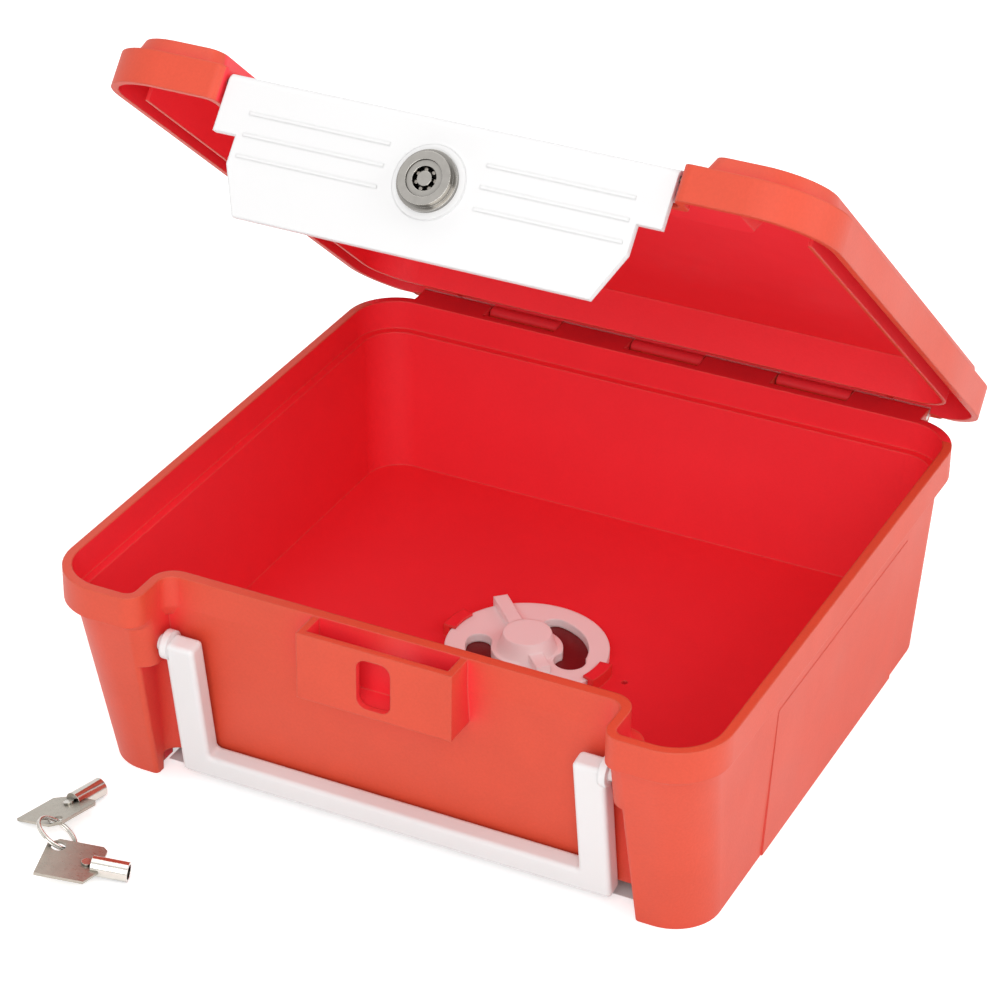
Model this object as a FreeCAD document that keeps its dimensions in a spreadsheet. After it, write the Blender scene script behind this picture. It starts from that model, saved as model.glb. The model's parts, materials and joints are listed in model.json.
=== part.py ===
"""Lockable storage box with a hinged lid, a locking flap, a swing handle and a turn disc.

Millimetres, +Z up, front towards -Y. The pieces are drawn about the middle of the footprint on the
ground, and moved at the end so that the origin is in the middle of the rim that the back stands on.
The lid and all that hangs on it are drawn closed and then opened by lid_angle.
"""
import FreeCAD, Part
import math
import os
import Sketcher

SIZES = {
    # tub: rim, band under the rim, leaning walls and raised floor
    "rim_width": 290, "rim_depth": 284, "rim_height": 99, "rim_wall": 4, "rim_radius": 24,
    "nose_round": 8, "inner_round": 6, "foot_round": 20, "tower_edge": 2, "boss_round": 1,
    "band_height": 14, "band_step": 4.5, "band_sink": 0.8, "tub_wall": 3.4,
    "side_lean": 4.5, "back_lean": 5.2, "front_lean": 18.5, "recess_lean": 11,
    "floor_height": 17.5, "floor_thick": 3.5,
    # front recess between the two towers
    "tower_width": 44.4, "recess_depth": 24.2, "recess_wall": 4.7,
    "tower_setback": 5, "tower_lean": 2.5, "boss_bottom": 61, "arch_height": 8, "arch_over": 10.4,
    "panel_front": 57, "panel_back": 88, "panel_height": 71, "panel_raise": 0.7,
    # keeper pocket that the cam of the lock turns in
    "keeper_width": 68, "keeper_reach": 13.7, "keeper_wall": 3, "keeper_drop": 0.5,
    "keeper_tall": 30, "latch_width": 15, "latch_tall": 22.5, "latch_round": 4.5, "lock_height": 83.3,
    # lid hinge
    "hinge_out": 9.5, "hinge_height": 95.5, "hinge_end": 21.1, "knuckle_gap": 0.6,
    "knuckle_radius": 3.5, "knuckle_relief": 0.6, "arm_bottom": 92, "pin_radius": 1.5, "pin_clear": 0.05,
    # lid
    "lid_angle": 40.17, "lid_over": 7, "lid_front_over": 8.4, "lid_back_over": 11.8, "lid_radius": 30,
    "lid_rim": 96, "lid_top": 110, "plateau_top": 116.85, "plateau_inset": 5, "plateau_lean": 2.5,
    "lid_wall": 3, "lid_skin": 2.5, "bay_side": 57.5, "bay_depth": 12.4, "tray_over": 5,
    "tray_depth": 62, "bay_round": 4, "tray_round": 6,
    "rib_inset": 11.8, "rib_thick": 1.6, "rib_edge": 0.6, "rib_in": 13, "rib_round": 20,
    "stop_gap": 0.2, "stop_thick": 1.6, "stop_front": 4, "stop_pitch": 13, "stop_back": 10.5,
    "pad_width": 20, "pad_middle": 70, "pad_tall": 3,
    # flap and its rod
    "flap_gap": 1.5, "flap_ear": 10, "flap_corner": 9, "flap_step": 85,
    "flap_chamfer": 73.5, "flap_bottom": 54.2, "flap_out": 5, "flap_thick": 3,
    "rod_radius": 1.3, "rod_clear": 0.06, "rod_out": 1.6, "rod_height": 105.2, "curl_radius": 3.4,
    "hook_thick": 1.8, "hook_bottom": 97.2, "line_raise": 0.4, "line_tall": 1.3, "line_inner": 20,
    "line_end": 13, "line_top": 95, "line_pitch": 8.5, "boss_radius": 14.6, "boss_raise": 1.2,
    # lock
    "bezel_radius": 12, "bezel_thick": 2, "collar_radius": 10.4, "collar_thick": 3, "barrel_radius": 9.4,
    "barrel_length": 12.4, "core_radius": 7.2, "core_clear": 0.06, "core_sink": 0.6, "keyway_outer": 4.8,
    "keyway_inner": 2.9, "keyway_deep": 6, "stem_radius": 4, "driver_radius": 0.75, "driver_length": 4.6,
    "driver_circle": 3.85, "washer_radius": 12.5, "washer_thick": 0.8, "nut_radius": 13, "nut_thick": 3,
    "cam_width": 11.5, "cam_tall": 19.5, "cam_thick": 4, "cam_in": 19.4, "screw_radius": 3.6,
    "screw_head": 2, "screw_shank": 1.5, "screw_deep": 7,
    # handle
    "handle_gap": 3.6, "handle_leg": 13.5, "handle_depth": 9, "handle_bar": 11, "handle_drop": 65.5,
    "handle_head": 3.2, "handle_round": 2, "pivot_in": 18.5, "pivot_height": 70, "handle_tilt": 9.5,
    "collar_ring": 6.2, "collar_ring_thick": 1.2, "trunnion_radius": 3.3, "trunnion_length": 10.5,
    "trunnion_clear": 0.08, "trunnion_end": 1,
    # turn disc
    "disc_back": 8, "disc_radius": 35.5, "disc_thick": 4, "disc_gap": 0.2, "hub_radius": 13, "hub_top": 10.5,
    "hub_tall": 7.5, "spoke_width": 6.5, "spoke_tall": 3.6, "spoke_reach": 37.5, "spoke_short": 22,
    "spoke_angle": 134, "slot_inner": 15.5, "slot_outer": 26.5, "slot_span": 84, "slot_right": 38,
    "slot_left": 236, "slot_eye": 7, "spigot_radius": 4.5, "spigot_tall": 6, "spigot_clear": 0.08,
    "clip_angle": -8, "clip_gap": 0.6, "clip_thick": 3, "clip_over": 2.6, "clip_top": 1.2, "clip_rise": 0.3,
    "clip_width": 14, "drain_radius": 1.3, "drain_across": 46,
    # keys on a ring
    "key_barrel_radius": 4.1, "key_barrel_wall": 1, "key_barrel_length": 11.5, "key_tail": 3.5,
    "key_plate_length": 24, "key_plate_width": 24, "key_plate_thick": 1.2, "key_corner": 4, "key_hole": 3,
    "key_hole_in": 3.6, "key_rivet_radius": 2.2, "key_rivet_head": 0.9,
    "ring_radius": 8.95, "ring_wire": 0.55, "ring_lobe": 0.5, "ring_tilt": -38, "bow_height": 6.9,
    "ring_across": -117.1, "ring_forward": 181.2, "ring_heading": -54.1,
    "key_a_heading": 75, "key_a_roll": -18, "key_b_heading": 16.5, "key_b_roll": 0,
    # how far a cutter runs past the face that it cuts
    "over_cut": 1,
}

V = FreeCAD.Vector
doc = FreeCAD.newDocument("storage_box")
sheet = doc.addObject("Spreadsheet::Sheet", "Dims")
for row, (alias, number) in enumerate(SIZES.items(), 1):
    sheet.set("A%d" % row, alias)
    sheet.set("B%d" % row, str(number))
    sheet.setAlias("B%d" % row, alias)
doc.recompute()


class Size:
    """A length with its value and the sheet expression that gives it."""

    def __init__(self, text, value):
        self.text = text
        self.value = value

    def _join(self, other, sign, value):
        return Size("(%s %s %s)" % (self.text, sign, size(other).text), value)

    def __add__(self, other):
        return self._join(other, "+", self.value + size(other).value)

    def __sub__(self, other):
        return self._join(other, "-", self.value - size(other).value)

    def __mul__(self, factor):
        return self._join(factor, "*", self.value * size(factor).value)

    def __truediv__(self, divisor):
        return self._join(divisor, "/", self.value / size(divisor).value)

    def __neg__(self):
        return Size("(-1 * %s)" % self.text, -self.value)


def size(value):
    return value if isinstance(value, Size) else Size(repr(float(value)), float(value))


class Sheet:
    def __getattr__(self, alias):
        return Size("Dims." + alias, float(sheet.get(alias)))


s = Sheet()


def bind(obj, prop, value):
    obj.setExpression(prop, size(value).text)


def new_body(node):
    body = doc.addObject("PartDesign::Body", node)
    body.Label = node
    return body


def new_sketch(body, plane, offset, turn=0):
    """Sketch on an origin plane: XY looks along Z, XZ along -Y and YZ along X."""
    sketch = body.newObject("Sketcher::SketchObject", body.Label + "_sketch")
    support = [item for item in body.Origin.OriginFeatures if item.Role == plane + "_Plane"][0]
    sketch.AttachmentSupport = (support, [""])
    sketch.MapMode = "FlatFace"
    sketch.AttachmentOffset = FreeCAD.Placement(V(0, 0, 0), FreeCAD.Rotation(V(0, 1, 0), size(turn).value))
    bind(sketch, "AttachmentOffset.Base.z", offset)
    return sketch


def fix_point(sketch, geometry, point, x, y):
    """Ties one sketch point to the sheet."""
    for kind, value, axis in (("DistanceX", size(x), -2), ("DistanceY", size(y), -1)):
        if value.value == 0:
            sketch.addConstraint(Sketcher.Constraint("PointOnObject", geometry, point, axis))
            continue
        index = sketch.addConstraint(Sketcher.Constraint(kind, -1, 1, geometry, point, value.value))
        bind(sketch, "Constraints[%d]" % index, value)


def draw_polygon(sketch, points):
    flat = [V(size(x).value, size(y).value, 0) for x, y in points]
    first = sketch.GeometryCount
    count = len(points)
    for i in range(count):
        sketch.addGeometry(Part.LineSegment(flat[i], flat[(i + 1) % count]), False)
    for i in range(count):
        sketch.addConstraint(Sketcher.Constraint("Coincident", first + i, 2, first + (i + 1) % count, 1))
    for i, (x, y) in enumerate(points):
        fix_point(sketch, first + i, 1, x, y)
    return sketch


def draw_outline(sketch, points, radii):
    """Outline of level and upright lines, run anticlockwise, with a rounding at each corner."""
    count = len(points)
    flat = [V(size(x).value, size(y).value, 0) for x, y in points]
    ways = [(flat[(i + 1) % count] - flat[i]).normalize() for i in range(count)]
    rounds = [size(radius) for radius in radii]
    first = sketch.GeometryCount
    for i in range(count):
        start = flat[i] + ways[i] * rounds[i].value
        end = flat[(i + 1) % count] - ways[i] * rounds[(i + 1) % count].value
        sketch.addGeometry(Part.LineSegment(start, end), False)
        level = abs(ways[i].x) > abs(ways[i].y)
        sketch.addConstraint(Sketcher.Constraint("Horizontal" if level else "Vertical", first + i))
        kind, value = ("DistanceY", points[i][1]) if level else ("DistanceX", points[i][0])
        index = sketch.addConstraint(Sketcher.Constraint(kind, -1, 1, first + i, 1, size(value).value))
        bind(sketch, "Constraints[%d]" % index, value)
    for i in range(count):
        before = first + (i - 1) % count
        entry = flat[i] - ways[i - 1] * rounds[i].value
        leave = flat[i] + ways[i] * rounds[i].value
        centre = entry + ways[i] * rounds[i].value
        convex = ways[i - 1].cross(ways[i]).z > 0
        angles = [math.atan2(point.y - centre.y, point.x - centre.x) for point in (entry, leave)]
        if not convex:
            angles.reverse()
        circle = Part.Circle(centre, V(0, 0, 1), rounds[i].value)
        arc = sketch.addGeometry(Part.ArcOfCircle(circle, angles[0], angles[1]), False)
        sketch.addConstraint(Sketcher.Constraint("Tangent", before, 2, arc, 1 if convex else 2))
        sketch.addConstraint(Sketcher.Constraint("Tangent", first + i, 1, arc, 2 if convex else 1))
        index = sketch.addConstraint(Sketcher.Constraint("Radius", arc, rounds[i].value))
        bind(sketch, "Constraints[%d]" % index, rounds[i])
    return sketch


def draw_rectangle(sketch, x0, x1, y0, y1):
    return draw_polygon(sketch, [(x0, y0), (x1, y0), (x1, y1), (x0, y1)])


def draw_circle(sketch, x, y, radius):
    centre = V(size(x).value, size(y).value, 0)
    index = sketch.addGeometry(Part.Circle(centre, V(0, 0, 1), size(radius).value), False)
    fix_point(sketch, index, 3, x, y)
    bind(sketch, "Constraints[%d]" % sketch.addConstraint(
        Sketcher.Constraint("Radius", index, size(radius).value)), radius)
    return sketch


def extrude(body, kind, sketch, length, reverse=False, both=False):
    feature = body.newObject("PartDesign::" + kind, body.Label + "_" + kind.lower())
    feature.Profile = sketch
    bind(feature, "Length", length)
    feature.Reversed = reverse
    feature.Midplane = both
    sketch.Visibility = False
    doc.recompute()
    return feature


def pad(body, sketch, length, reverse=False, both=False):
    return extrude(body, "Pad", sketch, length, reverse, both)


def pocket(body, sketch, length, reverse=False, both=False):
    return extrude(body, "Pocket", sketch, length, reverse, both)


def loft(body, kind, first, second):
    feature = body.newObject("PartDesign::" + kind, body.Label + "_loft")
    feature.Profile = first
    feature.Sections = [second]
    feature.Ruled = True
    doc.recompute()
    return feature


def repeat(body, features, axis, length, count):
    pattern = body.newObject("PartDesign::LinearPattern", body.Label + "_row")
    pattern.Originals = features
    line = [item for item in body.Origin.OriginFeatures if item.Role == axis + "_Axis"][0]
    pattern.Direction = (line, [""])
    bind(pattern, "Length", length)
    pattern.Occurrences = count
    body.Tip = pattern
    doc.recompute()
    return pattern


def mirror(body, features, plane):
    copy = body.newObject("PartDesign::Mirrored", body.Label + "_mirror")
    copy.Originals = features
    side = [item for item in body.Origin.OriginFeatures if item.Role == plane + "_Plane"][0]
    copy.MirrorPlane = (side, [""])
    body.Tip = copy
    doc.recompute()
    return copy


def round_all_edges(body, base, radius):
    fillet = body.newObject("PartDesign::Fillet", body.Label + "_fillet")
    fillet.Base = (base, ["Edge%d" % (i + 1) for i in range(len(base.Shape.Edges))])
    bind(fillet, "Radius", radius)
    doc.recompute()
    return fillet


def cylinder(name, radius, height, start, axis):
    """Cylinder from a start point along an axis; all three come from the sheet."""
    solid = doc.addObject("Part::Cylinder", name)
    solid.Label = name
    bind(solid, "Radius", radius)
    bind(solid, "Height", height)
    solid.Placement = FreeCAD.Placement(
        V(*(size(c).value for c in start)), FreeCAD.Rotation(V(0, 0, 1), axis))
    return solid


def block(name, lengths, corner):
    solid = doc.addObject("Part::Box", name)
    solid.Label = name
    for prop, value in zip(("Length", "Width", "Height"), lengths):
        bind(solid, prop, value)
    solid.Placement.Base = V(*(size(c).value for c in corner))
    return solid


def combine(kind, name, base, tool):
    result = doc.addObject("Part::" + kind, name)
    result.Label = name
    result.Base = base
    result.Tool = tool
    doc.recompute()
    return result


ACROSS = V(1, 0, 0)
BACK = V(0, 1, 0)
UP = V(0, 0, 1)
HALF_RIM = s.rim_width / 2
HALF_DEEP = s.rim_depth / 2
HALF_RECESS = HALF_RIM - s.tower_width
HALF_HANDLE = HALF_RECESS - s.handle_gap
HALF_LID = HALF_RIM + s.lid_over
HALF_BAY = HALF_LID - s.bay_side
HALF_FLAP = HALF_BAY - s.flap_gap
RECESS_FACE = -HALF_DEEP + s.recess_depth
BAND_BOTTOM = s.rim_height - s.band_height
KNUCKLES = 7
DRIVERS = 7
KNUCKLE_PITCH = (HALF_RIM - s.hinge_end) * 2 / KNUCKLES
HINGE_START = -KNUCKLE_PITCH * (KNUCKLES / 2)
HINGE_BACK = HALF_DEEP + s.hinge_out
FLAP_FACE = HALF_DEEP + s.flap_out
ROD_BACK = HALF_DEEP + s.rod_out
CAM_BACK = HALF_DEEP - s.cam_in
PIVOT_BACK = HALF_DEEP - s.pivot_in


def draw_u(sketch, side, front, back, recess_half, recess_face, outer, nose, inner):
    """U shape seen from above with a recess in its front; outer, nose and inner are the roundings."""
    points = [(-side, front), (-recess_half, front), (-recess_half, recess_face), (recess_half, recess_face),
              (recess_half, front), (side, front), (side, back), (-side, back)]
    return draw_outline(sketch, points, [outer, nose, inner, inner, nose, outer, outer, outer])


def hinge_knuckles(body, first, count, with_arm):
    """Every second knuckle of the lid hinge, starting with number first."""
    start = HINGE_START + KNUCKLE_PITCH * first + s.knuckle_gap / 2
    length = KNUCKLE_PITCH - s.knuckle_gap
    made = []
    if with_arm:
        arm = draw_rectangle(new_sketch(body, "YZ", start), HALF_DEEP - s.rim_wall / 2, HINGE_BACK,
                             s.arm_bottom, s.rim_height)
        made.append(pad(body, arm, length))
    barrel = draw_circle(new_sketch(body, "YZ", start), HINGE_BACK, s.hinge_height, s.knuckle_radius)
    made.append(pad(body, barrel, length))
    repeat(body, made, "X", KNUCKLE_PITCH * (2 * (count - 1)), count)
    hole = draw_circle(new_sketch(body, "YZ", 0), HINGE_BACK, s.hinge_height, s.pin_radius + s.pin_clear)
    pocket(body, hole, s.rim_width, both=True)


def arc_slot(body, middle_angle, bottom, top):
    """Curved slot round the body's own upright axis, cut as a part turn of a rectangle."""
    sketch = new_sketch(body, "XZ", 0, turn=middle_angle)
    draw_rectangle(sketch, s.slot_inner, s.slot_outer, bottom, top)
    groove = body.newObject("PartDesign::Groove", body.Label + "_slot")
    groove.Profile = sketch
    groove.ReferenceAxis = (sketch, ["V_Axis"])
    bind(groove, "Angle", s.slot_span)
    groove.Midplane = True
    sketch.Visibility = False
    doc.recompute()
    return groove


def make_tub():
    body = new_body("box_tub")
    wall_side = HALF_RIM - s.band_step
    wall_front = -HALF_DEEP + s.band_step
    wall_back = HALF_DEEP - s.band_step
    tower = HALF_RECESS + s.tower_setback

    wall_round = s.rim_radius - s.band_step
    upper = draw_u(new_sketch(body, "XY", BAND_BOTTOM), wall_side, wall_front, wall_back, tower, RECESS_FACE,
                   wall_round, s.tower_edge, s.inner_round)
    lower = draw_u(new_sketch(body, "XY", 0), wall_side - s.side_lean, wall_front + s.front_lean,
                   wall_back - s.back_lean, tower + s.tower_lean, RECESS_FACE + s.recess_lean,
                   s.foot_round, s.tower_edge, s.inner_round)
    loft(body, "AdditiveLoft", upper, lower)
    rim = draw_u(new_sketch(body, "XY", BAND_BOTTOM), HALF_RIM, -HALF_DEEP, HALF_DEEP, HALF_RECESS, RECESS_FACE,
                 s.rim_radius, s.nose_round, s.inner_round)
    pad(body, rim, s.band_height)
    collar_top = draw_u(new_sketch(body, "XY", BAND_BOTTOM), HALF_RIM, -HALF_DEEP, HALF_DEEP, HALF_RECESS,
                        RECESS_FACE, s.rim_radius, s.nose_round, s.inner_round)
    drop = s.band_step / BAND_BOTTOM
    collar_low = draw_u(
        new_sketch(body, "XY", BAND_BOTTOM - s.band_step), wall_side - s.side_lean * drop - s.band_sink,
        wall_front + s.front_lean * drop + s.band_sink, wall_back - s.back_lean * drop - s.band_sink,
        HALF_RECESS + s.band_sink, RECESS_FACE + s.recess_lean * drop + s.band_sink,
        wall_round - s.band_sink, s.nose_round - s.band_sink, s.inner_round)
    loft(body, "AdditiveLoft", collar_top, collar_low)

    boss_share = (BAND_BOTTOM - s.boss_bottom) / BAND_BOTTOM
    boss_back = RECESS_FACE + s.recess_wall
    for side in (-1, 1):
        inside = HALF_RECESS * side
        outside = (tower + s.tower_lean + s.recess_wall) * side
        left, right = (inside, outside) if side > 0 else (outside, inside)
        near, far = (s.nose_round, s.boss_round) if side > 0 else (s.boss_round, s.nose_round)
        low_front = wall_front + s.front_lean * boss_share
        sections = []
        for height, front in ((BAND_BOTTOM, wall_front), (s.boss_bottom, low_front)):
            sections.append(draw_outline(
                new_sketch(body, "XY", height),
                [(left, front), (right, front), (right, boss_back), (left, boss_back)],
                [near, far, s.boss_round, s.boss_round]))
        loft(body, "AdditiveLoft", sections[0], sections[1])

    opening = draw_u(new_sketch(body, "XY", s.rim_height), HALF_RIM - s.rim_wall, -HALF_DEEP + s.rim_wall,
                     HALF_DEEP - s.rim_wall, HALF_RECESS + s.rim_wall, RECESS_FACE + s.recess_wall,
                     s.rim_radius - s.rim_wall, s.nose_round - s.rim_wall, s.inner_round + s.rim_wall)
    pocket(body, opening, s.band_height)
    share = (BAND_BOTTOM - s.floor_height) / BAND_BOTTOM
    inner_tower = tower + s.recess_wall
    deep_upper = draw_u(
        new_sketch(body, "XY", BAND_BOTTOM), wall_side - s.tub_wall, wall_front + s.tub_wall,
        wall_back - s.tub_wall, inner_tower, RECESS_FACE + s.recess_wall,
        wall_round - s.tub_wall, s.nose_round - s.rim_wall, s.inner_round + s.rim_wall)
    deep_lower = draw_u(
        new_sketch(body, "XY", s.floor_height), wall_side - s.tub_wall - s.side_lean * share,
        wall_front + s.tub_wall + s.front_lean * share, wall_back - s.tub_wall - s.back_lean * share,
        inner_tower + s.tower_lean * share, RECESS_FACE + s.recess_wall + s.recess_lean * share,
        s.foot_round - s.tub_wall, s.nose_round - s.rim_wall, s.inner_round)
    loft(body, "SubtractiveLoft", deep_upper, deep_lower)

    under_side = wall_side - s.side_lean - s.tub_wall
    under_front = RECESS_FACE + s.recess_lean + s.recess_wall
    under_back = wall_back - s.back_lean - s.tub_wall
    under = draw_outline(new_sketch(body, "XY", 0), [
        (-under_side, under_front), (under_side, under_front),
        (under_side, under_back), (-under_side, under_back)],
        [s.inner_round, s.inner_round, s.foot_round - s.tub_wall, s.foot_round - s.tub_wall])
    pocket(body, under, s.floor_height - s.floor_thick, reverse=True)
    arch = draw_rectangle(new_sketch(body, "YZ", 0), wall_front + s.front_lean + s.recess_wall,
                          RECESS_FACE + s.recess_lean + s.recess_wall * 2, -s.arch_height, s.arch_height)
    pocket(body, arch, (HALF_RECESS + s.arch_over) * 2, both=True)

    low_side = wall_side - s.side_lean
    high_side = low_side + s.side_lean * s.panel_height / BAND_BOTTOM
    panel_low = draw_rectangle(new_sketch(body, "XY", 0), low_side - s.tub_wall / 2,
                               low_side + s.panel_raise, -s.panel_front, s.panel_back)
    panel_high = draw_rectangle(new_sketch(body, "XY", s.panel_height), high_side - s.tub_wall / 2,
                                high_side + s.panel_raise / 4, -s.panel_front, s.panel_back)
    panel = loft(body, "AdditiveLoft", panel_low, panel_high)
    mirror(body, [panel], "YZ")

    keeper_front = RECESS_FACE - s.keeper_reach
    keeper_top = s.rim_height - s.keeper_drop
    keeper = draw_rectangle(new_sketch(body, "XY", keeper_top - s.keeper_tall), -s.keeper_width / 2,
                            s.keeper_width / 2, keeper_front, RECESS_FACE + s.recess_wall / 2)
    pad(body, keeper, s.keeper_tall)
    slot = draw_rectangle(new_sketch(body, "XY", keeper_top), -(s.keeper_width / 2 - s.keeper_wall),
                          s.keeper_width / 2 - s.keeper_wall, keeper_front + s.keeper_wall, RECESS_FACE)
    pocket(body, slot, s.keeper_tall - s.keeper_wall)
    half_wide = s.latch_width / 2
    latch_low = s.lock_height - s.latch_tall / 2
    latch_high = s.lock_height + s.latch_tall / 2
    latch = draw_outline(new_sketch(body, "XZ", -keeper_front), [
        (-half_wide, latch_low), (half_wide, latch_low), (half_wide, latch_high), (-half_wide, latch_high)],
        [s.latch_round] * 4)
    pocket(body, latch, s.keeper_wall * 2)

    hinge_knuckles(body, 0, 4, with_arm=True)
    for side in (-1, 1):
        bore = draw_circle(new_sketch(body, "YZ", HALF_RECESS * side), -PIVOT_BACK, s.pivot_height,
                           s.trunnion_radius + s.trunnion_clear)
        reach = HALF_HANDLE + s.trunnion_length + s.trunnion_end - HALF_RECESS
        pocket(body, bore, reach, reverse=side > 0)

    spigot = draw_circle(new_sketch(body, "XY", s.floor_height), 0, s.disc_back, s.spigot_radius)
    pad(body, spigot, s.spigot_tall)
    drain = draw_circle(new_sketch(body, "XY", s.floor_height), s.drain_across, s.disc_back, s.drain_radius)
    pocket(body, drain, s.floor_thick * 2)
    make_clips(body)
    return body


def make_clips(body):
    """Two hooks on the floor that hold the rim of the disc down, opposite each other."""
    root = s.floor_height - s.floor_thick / 2
    lip_under = s.floor_height + s.disc_gap + s.disc_thick + s.clip_rise
    post = s.disc_radius + s.clip_gap
    span = s.clip_width / s.disc_radius * (180 / math.pi)
    for turn in (s.clip_angle, s.clip_angle + 180):
        sketch = new_sketch(body, "XZ", -s.disc_back, turn=turn)
        draw_polygon(sketch, [(post, root), (post + s.clip_thick, root),
                              (post + s.clip_thick, lip_under + s.clip_top),
                              (post - s.clip_over, lip_under + s.clip_top),
                              (post - s.clip_over, lip_under), (post, lip_under)])
        hook = body.newObject("PartDesign::Revolution", "clip")
        hook.Profile = sketch
        hook.ReferenceAxis = (sketch, ["V_Axis"])
        bind(hook, "Angle", span)
        hook.Midplane = True
        sketch.Visibility = False
        doc.recompute()


def make_lid():
    body = new_body("box_lid")
    side = HALF_LID
    front = -HALF_DEEP - s.lid_front_over
    back = HALF_DEEP + s.lid_back_over
    bay = HALF_BAY
    bay_face = front + s.bay_depth
    pad(body, draw_u(new_sketch(body, "XY", s.lid_rim), side, front, back, bay, bay_face,
                     s.lid_radius, s.bay_round, s.bay_round), s.lid_top - s.lid_rim)
    tray_end = bay_face + s.tray_depth

    def plateau(inset, bottom, top, kind):
        sections = []
        for height, edge in ((bottom, inset), (top, inset + s.plateau_lean)):
            shift = edge - s.plateau_inset
            sections.append(draw_u(
                new_sketch(body, "XY", height), side - edge, front + edge, back - edge,
                bay + s.tray_over + shift, tray_end + shift, s.lid_radius - edge, s.tray_round, s.tray_round))
        loft(body, kind, sections[0], sections[1])

    plateau(s.plateau_inset, s.lid_top, s.plateau_top, "AdditiveLoft")
    hollow = draw_u(new_sketch(body, "XY", s.lid_rim), side - s.lid_wall, front + s.lid_wall,
                    back - s.lid_wall, bay + s.lid_wall, bay_face + s.lid_wall,
                    s.lid_radius - s.lid_wall, s.bay_round, s.bay_round)
    pocket(body, hollow, s.lid_top - s.lid_rim - s.lid_skin, reverse=True)
    plateau(s.plateau_inset + s.lid_wall, s.lid_top - s.lid_skin, s.plateau_top - s.lid_skin, "SubtractiveLoft")

    rib_side = side - s.rib_inset
    rib_front = front + s.lid_radius
    rib_back = HALF_DEEP - s.rib_in
    rib_end = s.rib_thick / 4
    rib = draw_outline(new_sketch(body, "XY", s.lid_rim + s.rib_edge), [
        (-rib_side, rib_front), (-(rib_side - s.rib_thick), rib_front), (-(rib_side - s.rib_thick), rib_back),
        (rib_side - s.rib_thick, rib_back), (rib_side - s.rib_thick, rib_front), (rib_side, rib_front),
        (rib_side, rib_back + s.rib_thick), (-rib_side, rib_back + s.rib_thick)],
        [rib_end, rib_end, s.rib_round - s.rib_thick, s.rib_round - s.rib_thick, rib_end, rib_end,
         s.rib_round, s.rib_round])
    pad(body, rib, s.plateau_top - s.lid_skin / 2 - s.lid_rim - s.rib_edge)

    stop_z = s.rim_height + s.stop_gap
    front_stop = draw_rectangle(new_sketch(body, "YZ", bay + s.stop_front), front + s.lid_wall / 2,
                                -HALF_DEEP + s.rim_wall, stop_z, s.lid_top - s.lid_skin / 2)
    stops = [pad(body, front_stop, s.stop_thick)]
    second = draw_rectangle(new_sketch(body, "YZ", bay + s.stop_front + s.stop_pitch), front + s.lid_wall / 2,
                            -HALF_DEEP + s.rim_wall, stop_z, s.lid_top - s.lid_skin / 2)
    stops.append(pad(body, second, s.stop_thick))
    back_stop = draw_rectangle(new_sketch(body, "YZ", bay + s.stop_back), HALF_DEEP - s.rim_wall,
                               back - s.lid_wall / 2, stop_z, s.lid_top - s.lid_skin / 2)
    stops.append(pad(body, back_stop, s.stop_thick))
    mirror(body, stops, "YZ")

    pad_face = -ROD_BACK + s.curl_radius + s.stop_gap
    flap_stop = draw_rectangle(new_sketch(body, "YZ", s.pad_middle - s.pad_width / 2), pad_face,
                               bay_face + s.lid_wall / 2, s.lid_rim, s.lid_rim + s.pad_tall)
    mirror(body, [pad(body, flap_stop, s.pad_width)], "YZ")

    relief = draw_circle(new_sketch(body, "YZ", HINGE_START - s.knuckle_gap / 2), HINGE_BACK, s.hinge_height,
                         s.knuckle_radius + s.knuckle_relief)
    cut = pocket(body, relief, KNUCKLE_PITCH + s.knuckle_gap, reverse=True)
    repeat(body, [cut], "X", KNUCKLE_PITCH * (KNUCKLES - 1), 4)
    hinge_knuckles(body, 1, 3, with_arm=False)
    rod = draw_circle(new_sketch(body, "YZ", 0), -ROD_BACK, s.rod_height, s.rod_radius + s.rod_clear)
    pocket(body, rod, bay * 2 + s.lid_wall * 3, both=True)
    return body


def make_flap():
    body = new_body("front_flap")
    half = HALF_FLAP
    low = half - s.flap_ear
    foot = low - s.flap_corner
    plate = draw_polygon(new_sketch(body, "XZ", FLAP_FACE), [
        (-foot, s.flap_bottom), (foot, s.flap_bottom), (low, s.flap_chamfer), (low, s.flap_step),
        (half, s.flap_step), (half, s.rod_height), (-half, s.rod_height), (-half, s.flap_step),
        (-low, s.flap_step), (-low, s.flap_chamfer)])
    pad(body, plate, s.flap_thick, reverse=True)
    curl = draw_circle(new_sketch(body, "YZ", 0), -ROD_BACK, s.rod_height, s.curl_radius)
    pad(body, curl, half * 2, both=True)
    hook_back = -ROD_BACK + s.curl_radius
    hook = draw_rectangle(new_sketch(body, "YZ", 0), hook_back - s.hook_thick, hook_back,
                          s.hook_bottom, s.rod_height)
    pad(body, hook, half * 2, both=True)
    for turn in (-1, 1):
        for step in range(3):
            height = s.line_top - s.line_pitch * step
            line = draw_rectangle(new_sketch(body, "XZ", FLAP_FACE - s.line_raise), s.line_inner * turn,
                                  (half - s.line_end) * turn, height - s.line_tall, height)
            pad(body, line, s.line_raise * 2)
    boss = draw_circle(new_sketch(body, "XZ", FLAP_FACE), 0, s.lock_height, s.boss_radius)
    pad(body, boss, s.boss_raise)
    hole = draw_circle(new_sketch(body, "XZ", FLAP_FACE), 0, s.lock_height, s.barrel_radius + s.core_clear)
    pocket(body, hole, s.flap_thick * 4, both=True)
    bore = draw_circle(new_sketch(body, "YZ", 0), -ROD_BACK, s.rod_height, s.rod_radius + s.rod_clear)
    pocket(body, bore, half * 4, both=True)
    return body


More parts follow.
